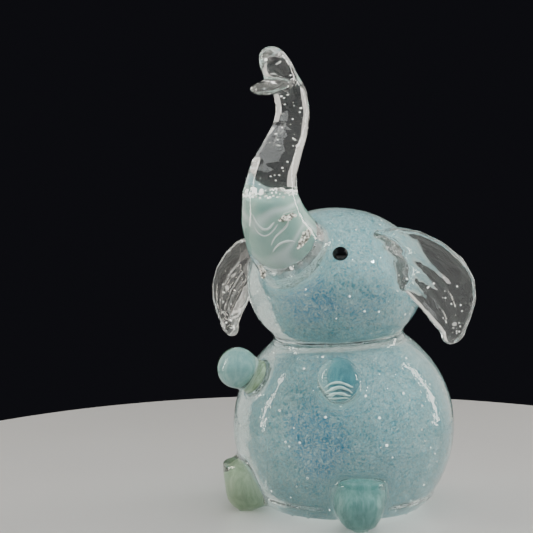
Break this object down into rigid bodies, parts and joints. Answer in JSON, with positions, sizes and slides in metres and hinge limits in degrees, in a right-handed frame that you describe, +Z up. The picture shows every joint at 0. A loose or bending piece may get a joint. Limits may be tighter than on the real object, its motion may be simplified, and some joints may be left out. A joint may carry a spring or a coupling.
{
  "type": "glass figurine",
  "caption": "Solid glass seated elephant with a raised trunk: bubbled pale blue core cased in clear crystal, with clear ears and trunk and sea-green paws.",
  "frame": {"origin": "centre of the ground flat that the figurine rests on", "axes": "+Z up, -Y the way the elephant faces, +X its left side"},
  "size_m": [0.1043, 0.0951, 0.1516],
  "materials": {
    "clear_crystal": "fire-polished clear crystal",
    "sea_green_glass": "fire-polished pale sea-green glass",
    "blue_frit_core": "pale blue frit glass full of fine bubbles, opaque",
    "opal_glass": "milky aqua opal glass, opaque",
    "black_glass": "polished black glass"
  },
  "bodies": {
    "root": {"body_core": "blue_frit_core", "body_casing": "clear_crystal", "neck_seal": "clear_crystal", "head_core": "blue_frit_core", "head_casing": "clear_crystal", "trunk": "clear_crystal", "trunk_core": "opal_glass", "trunk_lip": "clear_crystal", "left_ear": "clear_crystal", "right_ear": "clear_crystal", "left_eye": "black_glass", "right_eye": "black_glass", "left_paw": "sea_green_glass", "right_paw": "sea_green_glass", "left_foot": "sea_green_glass", "right_foot": "sea_green_glass", "tail": "clear_crystal"}
  },
  "joints": []
}
